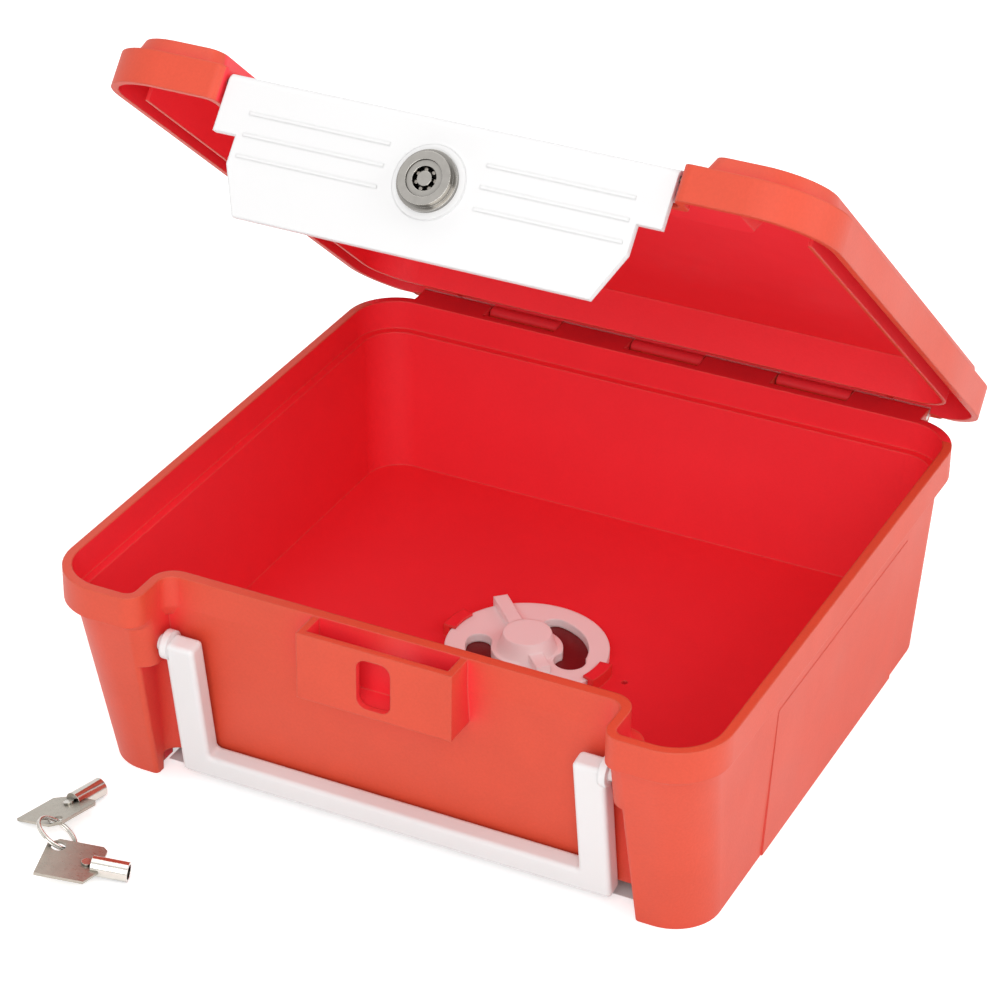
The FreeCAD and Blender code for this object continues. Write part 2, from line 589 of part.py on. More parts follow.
def make_lock():
    """Housing, washer, nut, turning core, driver pins, cam and cam screw; axis along Y."""
    seat = -FLAP_FACE - s.boss_raise
    flap_back = -FLAP_FACE + s.flap_thick
    face = seat - s.bezel_thick - s.collar_thick
    barrel_end = flap_back + s.barrel_length - s.flap_thick

    def along(name, radius, start, end):
        return cylinder(name, radius, end - start, (0, start, s.lock_height), BACK)

    bezel = combine("Fuse", "bezel", along("flange", s.bezel_radius, seat - s.bezel_thick, seat),
                    along("collar", s.collar_radius, face, seat - s.bezel_thick))
    shell = combine("Fuse", "shell", bezel, along("barrel", s.barrel_radius, seat, barrel_end))
    bore = along("bore", s.core_radius + s.core_clear, face - s.bezel_thick, barrel_end + s.bezel_thick)
    housing = combine("Cut", "lock_housing", shell, bore)

    nut_front = flap_back + s.washer_thick
    washer = combine("Cut", "lock_washer", along("washer_blank", s.washer_radius, flap_back, nut_front),
                     along("washer_hole", s.barrel_radius + s.core_clear, flap_back - s.over_cut,
                           nut_front + s.over_cut))
    hexagon = doc.addObject("Part::Prism", "nut_blank")
    hexagon.Polygon = 6
    bind(hexagon, "Circumradius", s.nut_radius)
    bind(hexagon, "Height", s.nut_thick)
    hexagon.Placement = FreeCAD.Placement(
        V(0, nut_front.value, s.lock_height.value), FreeCAD.Rotation(UP, BACK))
    nut = combine("Cut", "lock_nut", hexagon,
                  along("nut_hole", s.barrel_radius + s.core_clear, nut_front - s.over_cut,
                        nut_front + s.nut_thick + s.over_cut))

    core_face = face + s.core_sink
    cam_front = -CAM_BACK - s.cam_thick
    plug = combine("Fuse", "plug", along("core", s.core_radius, core_face, barrel_end),
                   along("stem", s.stem_radius, barrel_end, cam_front))
    keyway_end = core_face + s.keyway_deep
    keyway = combine("Cut", "keyway", along("keyway_ring", s.keyway_outer, core_face - s.over_cut, keyway_end),
                     along("post", s.keyway_inner, core_face - s.over_cut * 2, keyway_end))
    screw_start = -CAM_BACK - s.cam_thick - s.screw_deep
    thread = along("thread_hole", s.screw_shank, screw_start, cam_front + s.over_cut)
    core = combine("Cut", "lock_core", combine("Cut", "core_blank", plug, keyway), thread)

    pins = []
    for i in range(DRIVERS):
        angle = 2 * math.pi * i / DRIVERS
        pins.append(cylinder("driver_%d" % i, s.driver_radius, s.driver_length,
                             (s.driver_circle * math.cos(angle), keyway_end - s.driver_length,
                              s.lock_height + s.driver_circle * math.sin(angle)), BACK))
    drivers = doc.addObject("Part::Compound", "lock_drivers")
    drivers.Label = "lock_drivers"
    drivers.Links = pins

    bar = block("cam_bar", (s.cam_width, s.cam_thick, s.cam_tall),
                (-s.cam_width / 2, cam_front, s.lock_height - s.cam_tall / 2))
    disc = along("cam_disc", s.cam_tall / 2, cam_front, -CAM_BACK)
    cam = combine("Cut", "lock_cam", combine("Common", "cam_blank", bar, disc),
                  along("cam_hole", s.screw_shank, cam_front - s.over_cut, -CAM_BACK + s.over_cut))
    screw = combine("Fuse", "cam_screw",
                    along("screw_head", s.screw_radius, -CAM_BACK, -CAM_BACK + s.screw_head),
                    along("shank", s.screw_shank, screw_start, -CAM_BACK))
    return [housing, washer, nut, core, drivers, cam, screw]


def make_handle():
    """Drawn hanging straight down from its pivot, then leaned back by handle_tilt."""
    body = new_body("carry_handle")
    half = HALF_HANDLE
    inner = half - s.handle_leg
    top = s.pivot_height + s.handle_head
    bottom = s.pivot_height - s.handle_drop
    frame = draw_polygon(new_sketch(body, "XZ", PIVOT_BACK - s.handle_depth / 2), [
        (-half, bottom), (half, bottom), (half, top), (inner, top), (inner, bottom + s.handle_bar),
        (-inner, bottom + s.handle_bar), (-inner, top), (-half, top)])
    round_all_edges(body, pad(body, frame, s.handle_depth), s.handle_round)
    for turn in (-1, 1):
        ring = draw_circle(new_sketch(body, "YZ", (half - s.handle_round) * turn), -PIVOT_BACK,
                           s.pivot_height, s.collar_ring)
        pad(body, ring, s.collar_ring_thick + s.handle_round, reverse=turn < 0)
        trunnion = draw_circle(new_sketch(body, "YZ", half * turn), -PIVOT_BACK, s.pivot_height,
                               s.trunnion_radius)
        pad(body, trunnion, s.trunnion_length, reverse=turn < 0)
    return body


def make_disc():
    """Drawn about its own axis with its underside at zero."""
    body = new_body("turn_disc")
    pad(body, draw_circle(new_sketch(body, "XY", 0), 0, 0, s.disc_radius), s.disc_thick)
    low = draw_circle(new_sketch(body, "XY", s.disc_thick), 0, 0, s.hub_radius)
    high = draw_circle(new_sketch(body, "XY", s.disc_thick + s.hub_tall), 0, 0, s.hub_top)
    loft(body, "AdditiveLoft", low, high)
    for angle in (s.slot_right, s.slot_left):
        arc_slot(body, angle, -s.disc_thick, s.disc_thick * 2)
    eye_circle = (s.slot_inner + s.slot_outer) / 2
    for end in (s.slot_right - s.slot_span / 2, s.slot_left - s.slot_span / 2,
                s.slot_right + s.slot_span / 2, s.slot_left + s.slot_span / 2):
        angle = math.radians(end.value)
        radius = s.slot_eye if end.value < s.slot_right.value else (s.slot_outer - s.slot_inner) / 2
        eye = draw_circle(new_sketch(body, "XY", 0), eye_circle * math.cos(angle), eye_circle * math.sin(angle),
                          radius)
        pocket(body, eye, s.disc_thick, reverse=True)
    for reach, turn in ((s.spoke_reach, 0), (s.spoke_short, 180)):
        spoke = new_sketch(body, "YZ", 0, turn=s.spoke_angle + turn)
        draw_rectangle(spoke, -s.spoke_width / 2, s.spoke_width / 2, s.disc_thick / 2,
                       s.disc_thick + s.spoke_tall)
        pad(body, spoke, reach)
    bore = draw_circle(new_sketch(body, "XY", 0), 0, 0, s.spigot_radius + s.spigot_clear)
    pocket(body, bore, s.spigot_tall + s.disc_gap, reverse=True)
    return body


def make_key(prefix):
    """Tube along +X from zero, with its plate behind it; the plate lies in the XY plane."""
    tube = cylinder(prefix + "_tube", s.key_barrel_radius, s.key_barrel_length + s.key_tail,
                    (-s.key_tail, 0, 0), ACROSS)
    inside = cylinder(prefix + "_inside", s.key_barrel_radius - s.key_barrel_wall,
                      s.key_barrel_length + s.key_tail, (0, 0, 0), ACROSS)
    slit = block(prefix + "_slit", (s.key_tail, s.key_barrel_radius * 2, s.key_plate_thick),
                 (-s.key_tail, -s.key_barrel_radius, -s.key_plate_thick / 2))
    barrel = combine("Cut", prefix + "_barrel", combine("Cut", prefix + "_pipe", tube, inside), slit)

    body = new_body(prefix + "_bow")
    half = s.key_plate_width / 2
    back = -s.key_plate_length
    plate = draw_polygon(new_sketch(body, "XY", -s.key_plate_thick / 2), [
        (0, -s.key_barrel_radius), (0, half - s.key_corner / 2), (-s.key_corner / 2, half),
        (back + s.key_corner, half), (back, half - s.key_corner), (back, -half), (-s.key_corner, -half)])
    pad(body, plate, s.key_plate_thick)
    hole = draw_circle(new_sketch(body, "XY", 0), back + s.key_hole_in + s.key_corner / 4,
                       half - s.key_hole_in - s.key_corner / 4, s.key_hole)
    pocket(body, hole, s.key_plate_thick * 2, both=True)
    rivet_x = -s.key_tail - s.key_rivet_radius
    rivet_hole = draw_circle(new_sketch(body, "XY", 0), rivet_x, 0, s.key_rivet_radius / 2)
    pocket(body, rivet_hole, s.key_plate_thick * 2, both=True)

    under = -s.key_plate_thick / 2
    shank = cylinder(prefix + "_shank", s.key_rivet_radius / 2, s.key_plate_thick, (rivet_x, 0, under), UP)
    head = cylinder(prefix + "_head", s.key_rivet_radius, s.key_rivet_head, (rivet_x, 0, -under), UP)
    foot = cylinder(prefix + "_foot", s.key_rivet_radius, s.key_rivet_head,
                    (rivet_x, 0, under - s.key_rivet_head), UP)
    rivet = combine("Fuse", prefix + "_rivet", combine("Fuse", prefix + "_stud", shank, head), foot)
    return [barrel, body, rivet]


def make_ring():
    """Key ring whose two turns of wire lie side by side; axis along Z."""
    body = new_body("key_ring")
    for turn in (-1, 1):
        sketch = draw_circle(new_sketch(body, "XZ", 0), s.ring_radius, s.ring_lobe * turn, s.ring_wire)
        lobe = body.newObject("PartDesign::Revolution", "lobe")
        lobe.Profile = sketch
        lobe.ReferenceAxis = (sketch, ["V_Axis"])
        lobe.Angle = 360
        sketch.Visibility = False
        doc.recompute()
    return body


def place(objects, placement):
    for item in objects:
        item.Placement = placement


def about(point, axis, angle):
    """Turn by an angle in degrees about an axis through a point."""
    turn = FreeCAD.Placement(V(0, 0, 0), FreeCAD.Rotation(axis, angle))
    return FreeCAD.Placement(point, FreeCAD.Rotation()) * turn * FreeCAD.Placement(-point, FreeCAD.Rotation())


def key_hole_point():
    back = -s.key_plate_length.value
    inset = s.key_hole_in.value + s.key_corner.value / 4
    return V(back + inset, s.key_plate_width.value / 2 - inset, 0)


def lay_key(objects, mirrored, hole_at, heading, roll):
    """Lays a key down with its ring hole at a point and its tube end touching the ground."""
    flip = FreeCAD.Rotation(ACROSS, 180) if mirrored else FreeCAD.Rotation()
    hole = key_hole_point()
    reach = s.key_barrel_length.value - hole.x
    drop = hole.y * math.sin(math.radians(abs(roll)))
    dip = math.degrees(math.asin((hole_at.z - drop - s.key_barrel_radius.value) / reach))
    turn = (FreeCAD.Rotation(UP, heading) * FreeCAD.Rotation(BACK, dip)
            * FreeCAD.Rotation(ACROSS, roll) * flip)
    place(objects, FreeCAD.Placement(hole_at - turn.multVec(hole), turn))


def main():
    tub = make_tub()
    pin = cylinder("hinge_pin", s.pin_radius, KNUCKLE_PITCH * KNUCKLES - s.knuckle_gap,
                   (HINGE_START + s.knuckle_gap / 2, HINGE_BACK, s.hinge_height), ACROSS)
    lid = make_lid()
    rod = cylinder("flap_rod", s.rod_radius, (HALF_BAY + s.lid_wall) * 2,
                   (-(HALF_BAY + s.lid_wall), -ROD_BACK, s.rod_height), ACROSS)
    flap = make_flap()
    lock = make_lock()
    handle = make_handle()
    disc = make_disc()
    key_a = make_key("key_a")
    key_b = make_key("key_b")
    ring = make_ring()
    doc.recompute()

    opened = about(V(0, HINGE_BACK.value, s.hinge_height.value), V(-1, 0, 0), s.lid_angle.value)
    place([lid, flap] + lock, opened)
    rod.Placement = opened * rod.Placement
    place([handle], about(V(0, -PIVOT_BACK.value, s.pivot_height.value), ACROSS, s.handle_tilt.value))
    disc_seat = s.floor_height + s.disc_gap
    place([disc], FreeCAD.Placement(V(0, s.disc_back.value, disc_seat.value), FreeCAD.Rotation()))

    ring_centre = V(s.ring_across.value, -s.ring_forward.value, s.bow_height.value)
    chord = FreeCAD.Rotation(UP, s.ring_heading.value).multVec(ACROSS)
    gap = chord * s.ring_radius.value
    lay_key(key_a, True, ring_centre - gap, s.key_a_heading.value, s.key_a_roll.value)
    lay_key(key_b, False, ring_centre + gap, s.key_b_heading.value, s.key_b_roll.value)
    place([ring], FreeCAD.Placement(ring_centre, FreeCAD.Rotation(chord, s.ring_tilt.value)))
    doc.recompute()

    nodes = [tub, pin, lid, rod, flap] + lock + [handle, disc] + key_a + key_b + [ring]
    base_back = HALF_DEEP - s.band_step - s.back_lean - s.tub_wall / 2
    to_base = FreeCAD.Placement(V(0, -base_back.value, 0), FreeCAD.Rotation())
    for node in nodes:
        node.Placement = to_base * node.Placement
    doc.recompute()

    for item in doc.Objects:
        if "Invalid" in item.State or "Error" in item.State:
            raise RuntimeError("%s did not build" % item.Label)
    os.makedirs("parts", exist_ok=True)
    for node in nodes:
        if node.Shape.isNull() or not node.Shape.isValid():
            raise RuntimeError("%s has no valid shape" % node.Label)
        node.Shape.exportStep("parts/%s.step" % node.Label)
        print(node.Label, len(node.Shape.Solids), round(node.Shape.Volume), node.Shape.BoundBox)


main()
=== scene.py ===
"""Finishes, stage and camera for a lockable plastic storage box with a white flap and keys."""

import json
import math

import bpy
from bpy.props import FloatProperty, FloatVectorProperty, PointerProperty
from mathutils import Matrix, Vector


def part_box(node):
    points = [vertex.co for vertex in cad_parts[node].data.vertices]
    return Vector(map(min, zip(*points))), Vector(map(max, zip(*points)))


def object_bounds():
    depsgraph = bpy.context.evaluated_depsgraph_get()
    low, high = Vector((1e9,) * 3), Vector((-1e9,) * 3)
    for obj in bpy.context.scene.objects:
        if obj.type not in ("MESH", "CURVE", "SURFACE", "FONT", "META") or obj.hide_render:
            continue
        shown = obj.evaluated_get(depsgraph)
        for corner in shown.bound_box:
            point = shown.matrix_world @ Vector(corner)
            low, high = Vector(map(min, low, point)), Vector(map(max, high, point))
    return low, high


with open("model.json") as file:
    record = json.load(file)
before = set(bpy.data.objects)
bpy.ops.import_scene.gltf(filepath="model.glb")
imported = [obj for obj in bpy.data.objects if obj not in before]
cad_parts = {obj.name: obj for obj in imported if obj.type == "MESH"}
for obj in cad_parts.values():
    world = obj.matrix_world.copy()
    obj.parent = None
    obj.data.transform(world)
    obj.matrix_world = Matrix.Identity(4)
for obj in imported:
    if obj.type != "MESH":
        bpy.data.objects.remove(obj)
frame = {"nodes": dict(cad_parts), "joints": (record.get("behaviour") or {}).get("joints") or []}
NODES = frame["nodes"]
START_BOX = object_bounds()

bl_info = {
    "name": "Lockable storage box",
    "version": (1, 0, 0),
    "blender": (4, 5, 0),
    "location": "View3D > Sidebar > Storage box",
    "description": "Dresses a lockable storage box and sets it on a plain stage",
    "category": "Object",
}

KEY_TUBES = ("key_a_barrel", "key_b_barrel")
KEY_PLATES = ("key_a_bow", "key_b_bow")
KEY_RIVETS = ("key_a_rivet", "key_b_rivet")
LOCK_FIXINGS = ("lock_washer", "lock_nut", "lock_drivers", "lock_cam", "cam_screw")

COLUMN_WIDTH = 220
EDGE_SAMPLES = 6
NOOK_SAMPLES = 6
CREVICE_SAMPLES = 8
NOISE_RANGE = (0.3, 0.7)
FACING_RANGE = (-0.05, 0.12)
FACING_OUT = 0.5
NOOK_SHADE_RANGE = (0.85, 0.45)
EDGE_HIGHLIGHT_TURN = (0.97, 0.7)
EDGE_HIGHLIGHT_STRENGTH = 0.5
PATCH_SHADE = 0.2
PATCH_SHARE = 0.4
PLASTIC_SPECULAR = 0.4
RED_ROUGHNESS = (0.44, 0.56)
SMOOTH_ROUGHNESS = (0.34, 0.44)
OUTSIDE_MOTTLE = (0.86, 1.14)
INSIDE_MOTTLE = (0.93, 1.07)
SMOOTH_MOTTLE = (0.985, 1.01)
METAL_MOTTLE = (0.86, 1.08)
DULL_SHARE, BRIGHT_SHARE = 1.3, 0.7
LID_CENTRE_SHARE = 0.3
LID_CENTRE_RISE = 0.02
DRAWN_LINES_PER_METRE = 4000
DRAWN_TURN = math.radians(25)
DRAWN_STRETCH = (0.06, 1, 1)
CREVICE_SHADE = 0.05
SENSOR_WIDTH = 36
CAMERA_SHIFT = (-0.008184, -0.003763)
FLOOR_LIFT = 0.5
FLOOR_GREYS = (0.86, 0.88)
FLOOR_SPECKLE = 6
FLOOR_ROUGHNESS = 0.9

# Name, place from the middle of the box, side, and share of the lamp power.
LAMPS = (
    ("main_lamp", (0.5, -1.6, 0.9), 1.4, 1.15),
    ("side_lamp", (1.6, 0.32, 0.95), 1.2, 0.75),
    ("top_lamp", (-0.5, 0.22, 1.85), 1.6, 0.55),
)


class StorageBoxFinish(bpy.types.PropertyGroup):
    """Colours and surface of the pieces."""

    outside_red: FloatVectorProperty(
        name="Outside red", description="Grained red of the outer walls", subtype="COLOR",
        default=(0.64, 0.068, 0.030), min=0, max=1)
    # Painted light: the inside red is deeper and brighter than the outside red, standing in for the
    # red light that bounces inside the tub and lid and for the sheen the inner walls lack.
    inside_bounce_red: FloatVectorProperty(
        name="Inside red", description="Deeper red of the inner walls", subtype="COLOR",
        default=(0.87, 0.030, 0.044), min=0, max=1)
    # Painted highlight: the lighter red laid on moulded edges where they catch the light.
    edge_highlight_red: FloatVectorProperty(
        name="Edge red", description="Lighter red of the edges", subtype="COLOR",
        default=(0.80, 0.16, 0.09), min=0, max=1)
    white: FloatVectorProperty(
        name="White", description="Flap and handle", subtype="COLOR", default=(0.77, 0.765, 0.765),
        min=0, max=1)
    disc_white: FloatVectorProperty(
        name="Disc", description="Turn disc", subtype="COLOR", default=(0.95, 0.92, 0.91), min=0,
        max=1)
    nickel: FloatVectorProperty(
        name="Nickel", description="Key tubes and ring", subtype="COLOR",
        default=(0.64, 0.61, 0.56), min=0, max=1)
    lock_nickel: FloatVectorProperty(
        name="Lock nickel", description="Lock housing and core", subtype="COLOR",
        default=(0.45, 0.43, 0.40), min=0, max=1)
    steel: FloatVectorProperty(
        name="Steel", description="Nut, cam and rods", subtype="COLOR", default=(0.62, 0.57, 0.51),
        min=0, max=1)
    plate_steel: FloatVectorProperty(
        name="Plate steel", description="Key plates", subtype="COLOR", default=(0.42, 0.39, 0.335),
        min=0, max=1)
    grain_size: FloatProperty(
        name="Grain size", description="Width of one grain of the moulded surface", unit="LENGTH",
        default=0.0011)
    grain_depth: FloatProperty(
        name="Grain depth", description="Height of the grain", unit="LENGTH", default=0.00006)
    # Painted shade: how far the dark reaches into the corners of metal.
    crevice_shade: FloatProperty(
        name="Crevice", description="Reach of the dark in the corners of metal", unit="LENGTH",
        default=0.003)
    edge_depth: FloatProperty(
        name="Edge depth", description="How far in the edge of an opening counts", unit="LENGTH",
        default=0.002)
    wall: FloatProperty(
        name="Wall", description="Wall thickness at the front recess", unit="LENGTH", default=0.004)
    # The rim at the hinge keeps the painted inside red, since it lies in shade behind the lid.
    hinge_strip: FloatProperty(
        name="Hinge strip", description="Width of the rim at the hinge that keeps the inside red",
        unit="LENGTH", default=0.022)
    # Painted shade: how far the deeper red reaches into nooks.
    nook_shade: FloatProperty(
        name="Nook", description="Reach of the deeper red in nooks", unit="LENGTH", default=0.045)
    edge_round: FloatProperty(
        name="Edge round", description="Rounding that moulded edges show", unit="LENGTH",
        default=0.0011)


class StorageBoxStage(bpy.types.PropertyGroup):
    """Camera, lamps and floor."""

    camera_place: FloatVectorProperty(
        name="Camera place", description="Where the camera stands", subtype="TRANSLATION",
        unit="LENGTH", default=(0.51679, -1.221935, 0.809103))
    camera_azimuth: FloatProperty(
        name="Camera azimuth", description="Turn of the camera round the box", subtype="ANGLE",
        default=math.radians(25.608))
    camera_elevation: FloatProperty(
        name="Camera elevation", description="Height angle of the camera", subtype="ANGLE",
        default=math.radians(30.402))
    camera_roll: FloatProperty(
        name="Camera roll", description="Turn of the camera about its view", subtype="ANGLE",
        default=math.radians(0.916))
    camera_lens: FloatProperty(name="Lens", description="Focal length in millimetres", default=121.51)
    lamp_power: FloatProperty(
        name="Lamp power", description="Power in watts that each lamp takes a share of",
        default=15.8)
    sky_strength: FloatProperty(
        name="Sky strength", description="Even light from all round", default=0.65)
    floor_inset: FloatProperty(
        name="Floor inset", description="How far the dark floor starts inside the tub's outline",
        unit="LENGTH", default=0.035)
    floor_width: FloatProperty(
        name="Floor width", description="Side of the floor", unit="LENGTH", default=12.0)


def finish_of(context):
    return context.scene.storage_box_finish


class Tree:
    """Adds nodes to one node tree from left to right and links their sockets."""

    def __init__(self, tree):
        self.tree = tree
        self.column = 0

    def add(self, kind, label=None, **settings):
        node = self.tree.nodes.new(kind)
        node.location = (self.column * COLUMN_WIDTH, 0)
        self.column += 1
        if label:
            node.label = label
        for name, value in settings.items():
            setattr(node, name, value)
        return node

    def link(self, source, target):
        self.tree.links.new(source, target)

    def math(self, operation, first, second):
        node = self.add("ShaderNodeMath", operation=operation)
        for socket, value in zip(node.inputs, (first, second)):
            if isinstance(value, (int, float)):
                socket.default_value = value
            else:
                self.link(value, socket)
        return node.outputs[0]


def new_group(name, inputs, outputs):
    """Empty shader node group; returns the group, its tree helper, and its input and output nodes."""
    group = bpy.data.node_groups.new(name, "ShaderNodeTree")
    for in_out, sockets in (("INPUT", inputs), ("OUTPUT", outputs)):
        for label, kind in sockets:
            group.interface.new_socket(name=label, in_out=in_out, socket_type=kind)
    tree = Tree(group)
    return group, tree, tree.add("NodeGroupInput"), tree.add("NodeGroupOutput")


def moulded_grain_group():
    """Fine grain of moulded plastic: a height, a mottle and a slow change of shine."""
    if "moulded_grain" in bpy.data.node_groups:
        return bpy.data.node_groups["moulded_grain"]
    group, tree, given, result = new_group(
        "moulded_grain", [("Grain per metre", "NodeSocketFloat")],
        [("Height", "NodeSocketFloat"), ("Mottle", "NodeSocketFloat"), ("Shine", "NodeSocketFloat")])
    place = tree.add("ShaderNodeTexCoord").outputs["Object"]
    for label, share, detail in (("Height", 1, 3), ("Mottle", 0.05, 2), ("Shine", 0.012, 3)):
        noise = tree.add("ShaderNodeTexNoise", label)
        noise.inputs["Detail"].default_value = detail
        tree.link(place, noise.inputs["Vector"])
        scale = tree.math("MULTIPLY", given.outputs["Grain per metre"], share)
        tree.link(scale, noise.inputs["Scale"])
        tree.link(noise.outputs["Fac"], result.inputs[label])
    return group


def facing_inside_group():
    """Mask that is 1 on faces that look towards a point inside, and 0 in the front recess."""
    if "facing_inside" in bpy.data.node_groups:
        return bpy.data.node_groups["facing_inside"]
    group, tree, given, result = new_group(
        "facing_inside",
        [("Centre", "NodeSocketVector"), ("Recess half", "NodeSocketFloat"),
         ("Recess back", "NodeSocketFloat")],
        [("Mask", "NodeSocketFloat")])
    coordinates = tree.add("ShaderNodeTexCoord")
    towards = tree.add("ShaderNodeVectorMath", "To the centre", operation="SUBTRACT")
    tree.link(given.outputs["Centre"], towards.inputs[0])
    tree.link(coordinates.outputs["Object"], towards.inputs[1])
    unit = tree.add("ShaderNodeVectorMath", operation="NORMALIZE")
    tree.link(towards.outputs[0], unit.inputs[0])
    facing = tree.add("ShaderNodeVectorMath", "Facing", operation="DOT_PRODUCT")
    tree.link(unit.outputs[0], facing.inputs[0])
    tree.link(coordinates.outputs["Normal"], facing.inputs[1])
    turned = stretch(tree, facing.outputs["Value"], *FACING_RANGE, 0, 1)
    split = tree.add("ShaderNodeSeparateXYZ")
    tree.link(coordinates.outputs["Object"], split.inputs[0])
    across = tree.math("ABSOLUTE", split.outputs["X"], 0)
    between = tree.math("LESS_THAN", across, given.outputs["Recess half"])
    ahead = tree.math("LESS_THAN", split.outputs["Y"], given.outputs["Recess back"])
    clear = tree.math("SUBTRACT", 1, tree.math("MULTIPLY", between, ahead))
    tree.link(tree.math("MULTIPLY", turned, clear), result.inputs["Mask"])
    return group


def opening_edge_group():
    """Mask that is 1 on the edge of an opening: near its plane, facing out and not at the back."""
    if "opening_edge" in bpy.data.node_groups:
        return bpy.data.node_groups["opening_edge"]
    group, tree, given, result = new_group(
        "opening_edge",
        [("Point", "NodeSocketVector"), ("Outwards", "NodeSocketVector"), ("Depth", "NodeSocketFloat"),
         ("Back", "NodeSocketFloat")],
        [("Mask", "NodeSocketFloat")])
    coordinates = tree.add("ShaderNodeTexCoord")
    inwards = tree.add("ShaderNodeVectorMath", operation="SUBTRACT")
    tree.link(given.outputs["Point"], inwards.inputs[0])
    tree.link(coordinates.outputs["Object"], inwards.inputs[1])
    levels = []
    for source in (inwards.outputs[0], coordinates.outputs["Normal"]):
        along = tree.add("ShaderNodeVectorMath", operation="DOT_PRODUCT")
        tree.link(source, along.inputs[0])
        tree.link(given.outputs["Outwards"], along.inputs[1])
        levels.append(along.outputs["Value"])
    near = tree.math("LESS_THAN", levels[0], given.outputs["Depth"])
    out = tree.math("MULTIPLY", near, tree.math("GREATER_THAN", levels[1], FACING_OUT))
    split = tree.add("ShaderNodeSeparateXYZ")
    tree.link(coordinates.outputs["Object"], split.inputs[0])
    ahead = tree.math("LESS_THAN", split.outputs["Y"], given.outputs["Back"])
    tree.link(tree.math("MULTIPLY", out, ahead), result.inputs["Mask"])
    return group


def round_patch_group():
    """Mask that is 1 within a short upright cylinder round a point."""
    if "round_patch" in bpy.data.node_groups:
        return bpy.data.node_groups["round_patch"]
    group, tree, given, result = new_group(
        "round_patch",
        [("Centre", "NodeSocketVector"), ("Radius", "NodeSocketFloat"),
         ("Half height", "NodeSocketFloat")],
        [("Mask", "NodeSocketFloat")])
    offset = tree.add("ShaderNodeVectorMath", operation="SUBTRACT")
    tree.link(tree.add("ShaderNodeTexCoord").outputs["Object"], offset.inputs[0])
    tree.link(given.outputs["Centre"], offset.inputs[1])
    split = tree.add("ShaderNodeSeparateXYZ")
    tree.link(offset.outputs[0], split.inputs[0])
    flat = tree.add("ShaderNodeCombineXYZ")
    for axis in ("X", "Y"):
        tree.link(split.outputs[axis], flat.inputs[axis])
    away = tree.add("ShaderNodeVectorMath", operation="LENGTH")
    tree.link(flat.outputs[0], away.inputs[0])
    around = tree.math("LESS_THAN", away.outputs["Value"], given.outputs["Radius"])
    above = tree.math("ABSOLUTE", split.outputs["Z"], 0)
    level = tree.math("LESS_THAN", above, given.outputs["Half height"])
    tree.link(tree.math("MULTIPLY", around, level), result.inputs["Mask"])
    return group


def drawn_metal_group():
    """Fine drawn lines and handling marks of plated metal."""
    if "drawn_metal" in bpy.data.node_groups:
        return bpy.data.node_groups["drawn_metal"]
    group, tree, given, result = new_group(
        "drawn_metal", [("Lines per metre", "NodeSocketFloat")],
        [("Lines", "NodeSocketFloat"), ("Marks", "NodeSocketFloat")])
    place = tree.add("ShaderNodeTexCoord").outputs["Object"]
    drawn = tree.add("ShaderNodeMapping")
    drawn.inputs["Rotation"].default_value = (0, 0, DRAWN_TURN)
    drawn.inputs["Scale"].default_value = DRAWN_STRETCH
    tree.link(place, drawn.inputs["Vector"])
    for label, source, share in (("Lines", drawn.outputs["Vector"], 1), ("Marks", place, 0.08)):
        noise = tree.add("ShaderNodeTexNoise", label)
        noise.inputs["Detail"].default_value = 3
        tree.link(source, noise.inputs["Vector"])
        scale = tree.math("MULTIPLY", given.outputs["Lines per metre"], share)
        tree.link(scale, noise.inputs["Scale"])
        tree.link(noise.outputs["Fac"], result.inputs[label])
    return group


def place_group(tree, group, **values):
    node = tree.add("ShaderNodeGroup")
    node.node_tree = group
    for name, value in values.items():
        node.inputs[name.replace("_", " ")].default_value = value
    return node


def mix_colours(tree, factor, first, second):
    node = tree.add("ShaderNodeMix", data_type="RGBA")
    tree.link(factor, node.inputs[0])
    for socket, colour in ((node.inputs[6], first), (node.inputs[7], second)):
        if isinstance(colour, bpy.types.NodeSocket):
            tree.link(colour, socket)
        else:
            socket.default_value = (*colour, 1)
    return node.outputs[2]


def stretch(tree, source, start, end, low, high):
    """Maps start to low and end to high."""
    node = tree.add("ShaderNodeMapRange")
    for name, value in (("From Min", start), ("From Max", end), ("To Min", low), ("To Max", high)):
        node.inputs[name].default_value = value
    tree.link(source, node.inputs["Value"])
    return node.outputs["Result"]


def spread(tree, source, low, high):
    """Maps the range in which noise mostly lies to low and high."""
    return stretch(tree, source, *NOISE_RANGE, low, high)


def painted_edge_highlight(tree, edge_round):
    """Mask of the painted edge highlight: where a rounded normal turns away from the face."""
    rounded = tree.add("ShaderNodeBevel", samples=EDGE_SAMPLES)
    rounded.inputs["Radius"].default_value = edge_round
    flat = tree.add("ShaderNodeVectorMath", operation="DOT_PRODUCT")
    tree.link(rounded.outputs["Normal"], flat.inputs[0])
    tree.link(tree.add("ShaderNodeNewGeometry").outputs["Normal"], flat.inputs[1])
    return stretch(tree, flat.outputs["Value"], *EDGE_HIGHLIGHT_TURN, 0, EDGE_HIGHLIGHT_STRENGTH)


def new_material(name):
    material = bpy.data.materials.new(name)
    material.use_nodes = True
    shader = material.node_tree.nodes["Principled BSDF"]
    return material, Tree(material.node_tree), shader


def raise_surface(tree, shader, height, depth, edge_round):
    """Bump from a height, laid over edges that look rounded."""
    edge = tree.add("ShaderNodeBevel", samples=EDGE_SAMPLES)
    edge.inputs["Radius"].default_value = edge_round
    bump = tree.add("ShaderNodeBump")
    bump.inputs["Distance"].default_value = depth
    tree.link(height, bump.inputs["Height"])
    tree.link(edge.outputs["Normal"], bump.inputs["Normal"])
    tree.link(bump.outputs["Normal"], shader.inputs["Normal"])


def shade(colour, factor):
    return tuple(channel * factor for channel in colour)


def mottled(tree, mask, colour, darkest, lightest):
    return mix_colours(tree, mask, shade(colour, darkest), shade(colour, lightest))


